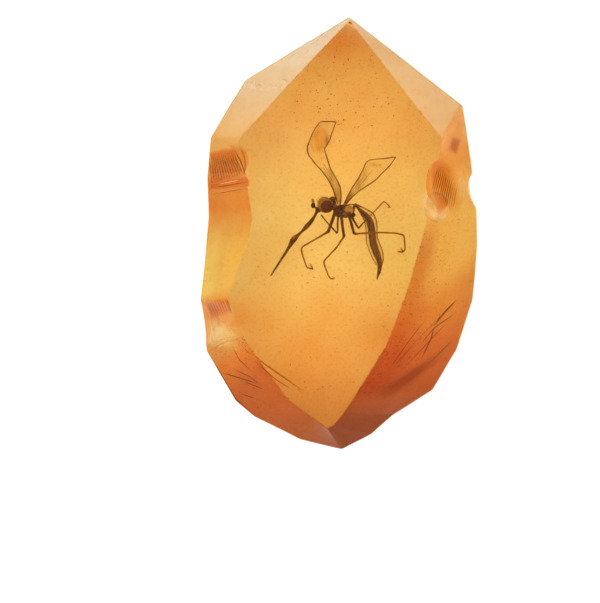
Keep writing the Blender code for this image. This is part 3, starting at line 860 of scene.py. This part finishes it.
# Legs: thick upper joints, thin shins and feet with hooked claws
legs = dict(
    near=(
        ((-1.6, 9.2, 1.2, 0.85), (-2.4, 7.8, 2.0, 0.72), (-4.6, 1.2, 4.0, 0.62), (-4.9, 0.3, 4.2, 0.82),
         (-5.6, -0.1, 4.3, 0.5), (-10.8, -3.1, 5.0, 0.36), (-16.6, -6.6, 5.5, 0.34),
         (-17.1, -7.5, 5.6, 0.44), (-16.8, -8.8, 5.5, 0.33), (-15.6, -12.8, 5.2, 0.3),
         (-14.7, -15.3, 5.0, 0.34), (-14.0, -15.9, 5.0, 0.3), (-12.4, -16.3, 4.8, 0.42),
         (-11.8, -16.5, 4.8, 0.3)),
        ((-11.9, -16.4, 4.8, 0.36), (-12.1, -15.4, 4.9, 0.34), (-13.1, -14.0, 5.0, 0.2)),
        ((0.9, 8.4, 1.4, 0.85), (1.0, 6.6, 2.4, 0.72), (1.7, -0.6, 4.8, 0.6), (2.0, -1.8, 5.0, 0.8),
         (1.6, -2.6, 5.1, 0.46), (-1.4, -7.0, 5.8, 0.36), (-6.3, -12.3, 6.3, 0.33),
         (-6.9, -13.1, 6.4, 0.42), (-6.7, -14.2, 6.3, 0.32), (-5.6, -17.4, 6.0, 0.3),
         (-4.8, -19.4, 5.8, 0.32), (-3.9, -20.6, 5.7, 0.32), (-3.0, -20.8, 5.7, 0.36),
         (-2.1, -20.2, 5.7, 0.3)),
        ((4.2, 8.8, 1.2, 0.85), (4.5, 7.0, 2.2, 0.72), (6.3, 0.4, 4.4, 0.6), (6.7, -0.6, 4.6, 0.8),
         (7.6, -0.7, 4.7, 0.46), (12.5, -0.2, 5.2, 0.36), (19.2, -0.1, 5.4, 0.34),
         (24.6, -0.4, 5.4, 0.34), (28.2, -1.1, 5.2, 0.4), (28.8, -2.2, 5.2, 0.36),
         (29.1, -5.4, 5.0, 0.32), (29.2, -7.6, 4.8, 0.34), (28.4, -8.6, 4.8, 0.42),
         (27.2, -8.8, 4.8, 0.36), (26.0, -8.4, 4.8, 0.24)),
        ((28.3, -8.4, 4.8, 0.34), (27.6, -7.6, 4.9, 0.28), (27.3, -6.7, 4.9, 0.18)),
    ),
    far=(
        ((-0.4, 8.6, -1.4, 0.6), (-0.6, 6.1, -2.4, 0.42), (-1.0, 0.6, -4.4, 0.38),
         (-1.1, -0.5, -4.6, 0.46), (-1.9, 0.4, -4.8, 0.32), (-3.2, 1.7, -5.0, 0.3),
         (-5.2, 3.9, -5.4, 0.28), (-8.3, 7.6, -5.6, 0.24)),
        ((5.0, 9.0, -1.2, 0.7), (5.8, 7.0, -2.2, 0.55), (7.8, 3.2, -4.0, 0.42), (8.7, 1.9, -4.4, 0.48),
         (9.6, 2.8, -4.8, 0.34), (11.0, 4.6, -5.2, 0.3), (15.8, 9.6, -5.6, 0.24),
         (19.4, 13.4, -5.6, 0.26), (20.0, 14.0, -5.6, 0.34), (20.8, 13.3, -5.6, 0.28),
         (22.2, 11.9, -5.5, 0.4), (22.8, 11.1, -5.4, 0.34)),
        ((22.7, 11.2, -5.4, 0.3), (22.0, 11.0, -5.4, 0.26), (21.4, 11.3, -5.4, 0.16)),
        ((7.0, 12.3, -0.4, 0.5), (8.4, 12.4, -0.8, 0.36), (11.9, 10.7, -2.0, 0.34),
         (15.3, 8.4, -3.0, 0.36), (16.5, 5.8, -3.4, 0.3), (17.1, 2.2, -3.6, 0.26),
         (17.2, -2.2, -3.6, 0.26), (18.3, -5.4, -3.4, 0.3), (19.6, -8.8, -3.2, 0.28),
         (19.7, -11.9, -3.0, 0.28), (18.9, -15.2, -2.4, 0.26), (18.0, -18.6, -1.4, 0.24)),
        ((8.0, 11.8, 0.0, 0.3), (9.6, 8.6, -0.4, 0.26), (11.4, 5.0, -0.6, 0.24), (12.0, 1.6, -0.8, 0.22),
         (12.1, -4.0, -0.8, 0.22), (13.2, -7.9, -0.8, 0.24), (14.9, -11.9, -0.6, 0.24),
         (16.5, -14.6, -0.4, 0.22)),
    ),
    nearColour=(0.10, 0.033, 0.007), farColour=(0.12, 0.055, 0.012), hip=(1.0, 7.0), kneeReach=10.0,
    shinGain=(2.7, 2.6, 1.6), ringCount=40.0, ringDepth=0.05,
)


def legSwell(share, angle):
    # fine rings along it
    return 1.0 + legs["ringDepth"] * np.sin(2.0 * math.pi * legs["ringCount"] * share) * np.cos(2.0 * angle)


for side in ("near", "far"):
    legParts = []
    for route in legs[side]:
        leg = tube(lifted(route), sides=12, step=0.22, rounding=0.45, swell=legSwell)
        reach = np.linalg.norm(leg[0][:, :2] - np.array(legs["hip"]), axis=1)
        paler = smooth(reach, legs["kneeReach"] - 1.5, legs["kneeReach"] + 1.5)
        legParts.append((leg, np.array(legs[side + "Colour"]) * towards(legs["shinGain"], paler)))
    makePiece(side + "Legs", legParts, legShell)


# Wings: a thin rippled membrane between two edges, with a tube along each edge and vein
wings = (
    dict(
        name="leftWing", lean=7.0,
        first=((0.3, 12.0), (0.9, 16.0), (0.5, 20.0), (-0.9, 23.1), (-4.0, 28.6), (-5.2, 32.2),
               (-6.2, 35.4), (-6.7, 36.8), (-5.4, 38.6), (-4.4, 39.9), (-2.8, 43.4), (-1.4, 47.3)),
        last=((-0.7, 12.6), (-1.6, 15.9), (-2.9, 19.5), (-4.7, 23.1), (-7.7, 27.3), (-11.1, 31.3),
              (-13.2, 34.0), (-14.1, 35.7), (-14.2, 37.8), (-12.6, 41.2), (-10.7, 44.4), (-8.3, 47.4)),
        veins=((0.20, 0.03, 0.46), (0.38, 0.03, 0.52), (0.62, 0.03, 0.46), (0.82, 0.03, 0.40)),
        stainsAndShade=(((-9.6, 41.6), (3.4, 4.6), (0.76, 0.41, 0.006), 0.42),
                ((-9.0, 37.8), (3.0, 3.0), (0.74, 0.38, 0.006), 0.42),
                ((-5.6, 39.6), (1.0, 2.2), (0.34, 0.15, 0.02), 0.50),
                ((-3.6, 25.0), (1.4, 7.0), (0.60, 0.32, 0.05), 0.22),
                ((-0.6, 17.0), (1.6, 5.0), (0.52, 0.26, 0.05), 0.30)),
    ),
    dict(
        name="rightWing", lean=-7.0,
        first=((2.0, 12.2), (3.7, 15.9), (5.8, 19.9), (8.4, 23.9), (10.9, 28.6), (12.3, 31.5),
               (13.6, 32.4), (16.0, 32.7), (20.0, 32.9), (25.1, 33.5)),
        last=((2.8, 12.2), (4.2, 14.0), (6.4, 16.4), (9.0, 18.4), (13.0, 21.1), (16.7, 23.8),
              (20.1, 27.3), (23.0, 30.4), (25.1, 33.5)),
        veins=((0.3, 0.03, 0.45), (0.5, 0.03, 0.62), (0.72, 0.03, 0.40)),
        # the streaks along this wing are painted shade, a soft shadow of the wing
        stainsAndShade=(((8.4, 21.6), (1.4, 5.0), (0.56, 0.30, 0.03), 0.36),
                ((11.2, 26.0), (1.5, 4.0), (0.62, 0.36, 0.05), 0.34),
                ((15.4, 30.2), (3.4, 1.3), (0.62, 0.38, 0.06), 0.26),
                ((4.6, 16.2), (1.6, 3.4), (0.48, 0.24, 0.05), 0.34)),
    ),
)
wingLook = dict(hinge=12.0, camber=0.5, ripple=0.05, ripples=9.0, thickness=0.12, colour=(0.80, 0.50, 0.14),
                cover=0.06, edgeRadius=0.32, edgeColour=(0.17, 0.058, 0.010), veinRadius=0.12,
                veinColour=(0.26, 0.11, 0.015), taper=0.35, rows=150, columns=44)


def wingPoint(wing, u, v):
    # u from the hinge to the tip, v from the first edge to the last; leaning, arched and rippled
    first, last = alongLine(wing["first"], u), alongLine(wing["last"], u)
    flat = first + v[..., None] * (last - first)
    lean = math.tan(math.radians(wing["lean"]))
    arch = wingLook["camber"] * np.sin(math.pi * v) * np.sin(math.pi * u)
    height = lean * (flat[..., 1] - wingLook["hinge"]) + arch
    height = height + wingLook["ripple"] * np.sin(2.0 * math.pi * wingLook["ripples"] * v)
    return np.concatenate([flat, (insectPlane + height)[..., None]], axis=-1)


def wingVein(wing, v, start, end, radius):
    # a tube along the wing at one share of its width, thinner towards the tip
    u = np.linspace(start, end, 60)
    line = wingPoint(wing, u, np.full(u.shape, v))
    route = np.column_stack([line, radius * (1.0 - wingLook["taper"] * u)])
    return tube(route, sides=8, step=0.35, rounding=0.5)


for wing in wings:
    u, v = np.meshgrid(np.linspace(0.0, 1.0, wingLook["rows"]), np.linspace(0.0, 1.0, wingLook["columns"]),
                       indexing="ij")
    film = sheet(wingPoint(wing, u, v), wingLook["thickness"])
    colours = np.array((*wingLook["colour"], wingLook["cover"]))
    for centre, sizes, colour, cover in wing["stainsAndShade"]:
        near = nearness(film[0], centre, sizes)[:, None]
        colours = colours + near * (np.array((*colour, cover)) - colours)
    makePiece(wing["name"], [(film, colours)], membrane)

    edges = [wingVein(wing, v, 0.0, 1.0, wingLook["edgeRadius"]) for v in (0.0, 1.0)]
    across = wingPoint(wing, np.ones(12), np.linspace(0.0, 1.0, 12))
    if np.linalg.norm(across[0] - across[-1]) > 1.0:
        # a blunt tip has an edge of its own
        route = np.column_stack([across, np.full(12, wingLook["edgeRadius"] * 0.8)])
        edges.append(tube(route, sides=8, step=0.35, rounding=0.3))
    veins = [wingVein(wing, v, start, end, wingLook["veinRadius"]) for v, start, end in wing["veins"]]
    makePiece(wing["name"] + "Veins", [(edge, wingLook["edgeColour"]) for edge in edges]
              + [(vein, wingLook["veinColour"]) for vein in veins], legShell)


# Hairs: three-sided spikes standing out of a shape and leaning at random, on the head and on the thorax;
# lowest is the least share of a hair's way that points up the nugget
hairs = (
    dict(count=260, centre=(-7.0, 12.8, insectPlane), radii=(3.5, 3.4, 3.2), length=(0.5, 1.1),
         width=0.045, colour=(0.42, 0.24, 0.08), lowest=0.2),
    dict(count=220, centre=(2.2, 9.9, insectPlane), radii=(4.2, 2.6, 2.5), length=(0.4, 0.9),
         width=0.04, colour=(0.16, 0.07, 0.03), lowest=-1.0),
)


def spikes(roots, tips, width):
    # each spike is a small triangle round its root and a point at its tip
    way = unit(tips - roots)
    side = unit(np.cross(way, np.array([0.31, 0.52, 0.79])))
    up = np.cross(way, side)
    corners = [roots + width * (math.cos(a) * side + math.sin(a) * up) for a in (0.0, 2.1, 4.2)]
    vertices = np.stack([*corners, tips], axis=1).reshape(-1, 3)
    start = 4 * np.arange(len(roots))[:, None]
    faces = [start + np.array(face) for face in ((0, 1, 3), (1, 2, 3), (2, 0, 3), (2, 1, 0))]
    return vertices, faces


chance = np.random.default_rng(7)
hairParts = []
for tuft in hairs:
    way = unit(chance.normal(size=(tuft["count"], 3)))
    way = way[way[:, 1] > tuft["lowest"]]
    roots = np.array(tuft["centre"]) + way * np.array(tuft["radii"]) * 0.97
    lengths = chance.uniform(*tuft["length"], size=(len(way), 1))
    tips = roots + unit(way + 0.35 * chance.normal(size=way.shape)) * lengths
    hairParts.append((spikes(roots, tips, tuft["width"]), tuft["colour"]))

bristles = dict(step=0.42, length=(0.35, 0.75), width=0.035, colour=(0.17, 0.08, 0.025))
for route in legs["near"] + legs["far"][:2]:
    line, share = softRoute(lifted(route), bristles["step"], rounding=0.45)
    along = unit(np.gradient(line[:, :3], axis=0))
    way = unit(np.cross(along, unit(chance.normal(size=(len(line), 3)))))
    roots = line[:, :3] + way * line[:, 3:] * 0.9
    lengths = chance.uniform(*bristles["length"], size=(len(line), 1))
    tips = roots + unit(way + 0.9 * along) * lengths
    hairParts.append((spikes(roots, tips, bristles["width"]), bristles["colour"]))
makePiece("insectHairs", hairParts, legShell)


# Grit: dark specks under the front face, mostly near the point, and under the lower side facets
grit = dict(
    regions=(
        dict(count=230, x=(-22.0, 46.0), y=(44.0, 86.0), depth=(0.8, 3.0), size=(0.18, 0.55)),
        dict(count=70, x=(-36.0, 44.0), y=(-6.0, 46.0), depth=(0.8, 3.0), size=(0.14, 0.36)),
        dict(count=110, x=(-42.0, 32.0), y=(-82.0, -6.0), depth=(0.8, 3.0), size=(0.16, 0.48)),
    ),
    sides=(
        dict(count=620, s=(112.0, 200.0), reach=24.0, size=(0.15, 0.36)),
        dict(count=200, s=(286.0, 324.0), reach=30.0, size=(0.15, 0.32)),
    ),
    inset=0.95, sideDepth=0.9, colour=(0.55, 0.18, 0.03), sideColour=(0.20, 0.06, 0.008),
)
edgeAngle = np.arctan2(cornerTable[:, 1], cornerTable[:, 0])
edgeReach = np.hypot(cornerTable[:, 0], cornerTable[:, 1])


def underFront(x, y, share):
    # true where a point lies within a share of the front face's edge
    return np.hypot(x, y) < share * np.interp(np.arctan2(y, x), edgeAngle, edgeReach, period=2.0 * math.pi)


corner = np.array([(1, 0, 0), (-1, 0, 0), (0, 1, 0), (0, -1, 0), (0, 0, 1), (0, 0, -1)], float)
octahedron = ((0, 2, 4), (2, 1, 4), (1, 3, 4), (3, 0, 4), (2, 0, 5), (1, 2, 5), (3, 1, 5), (0, 3, 5))


def grains(centres, sizes, colour):
    # an eight-sided grain round each centre, squashed at random
    reach = sizes[:, None, None] * chance.uniform(0.5, 1.0, size=(len(centres), 1, 3))
    start = 6 * np.arange(len(centres))[:, None]
    vertices = (centres[:, None] + corner[None] * reach).reshape(-1, 3)
    return (vertices, [start + np.array(face) for face in octahedron]), colour


gritParts = []
for region in grit["regions"]:
    x = chance.uniform(*region["x"], size=region["count"])
    y = chance.uniform(*region["y"], size=region["count"])
    kept = underFront(x, y, grit["inset"])
    x, y = x[kept], y[kept]
    z = frontHeight(y) - chance.uniform(*region["depth"], size=len(x))
    sizes = chance.uniform(*region["size"], size=len(x))
    gritParts.append(grains(np.stack([x, y, z], axis=-1), sizes, grit["colour"]))
for region in grit["sides"]:
    # denser near the front edge, just under the skin
    s = chance.uniform(*region["s"], size=region["count"])
    t = frontEdge + 0.6 + region["reach"] * chance.random(region["count"]) ** 2
    sizes = chance.uniform(*region["size"], size=region["count"])
    gritParts.append(grains(sunk(nuggetSkin(s, t)[0], grit["sideDepth"]), sizes, grit["sideColour"]))
makePiece("grit", gritParts, legShell, ())


# Floor and light: a pale floor just under the amber, a bright even sky and two large soft lamps
studio = dict(floorSize=4000.0, floorHeight=-0.4, floorColour=(0.93, 0.93, 0.93, 1.0), sky=1.5,
              lampPower=6.0, lampSize=600.0)

half = studio["floorSize"] / 2 * mm
level = studio["floorHeight"] * mm
floorData = bpy.data.meshes.new("floor")
floorCorners = [(x * half, y * half, level) for x, y in ((-1, -1), (1, -1), (1, 1), (-1, 1))]
floorData.from_pydata(floorCorners, [], [(0, 1, 2, 3)])
floorLook = {"Base Color": studio["floorColour"], "Roughness": 0.9}
floorData.materials.append(newMaterial("paleFloor", floorLook)[0])
placed("floor", floorData)

world = bpy.data.worlds.new("sky")
world.use_nodes = True
setInputs(world.node_tree.nodes["Background"], {"Color": (1.0, 1.0, 1.0, 1.0), "Strength": studio["sky"]})
bpy.context.scene.world = world


def softLamp(name, place, power):
    # a square lamp that looks at the origin
    data = bpy.data.lights.new(name, "AREA")
    data.size = studio["lampSize"] * mm
    data.energy = power
    lamp = placed(name, data)
    lamp.location = Vector(place) * mm
    lamp.rotation_euler = (-lamp.location).to_track_quat("-Z", "Y").to_euler()


softLamp("keyLamp", (-700.0, 500.0, 900.0), studio["lampPower"])
softLamp("fillLamp", (800.0, 300.0, 700.0), studio["lampPower"] * 0.5)
bpy.context.scene.view_settings.view_transform = "Standard"
print("floor and light set")
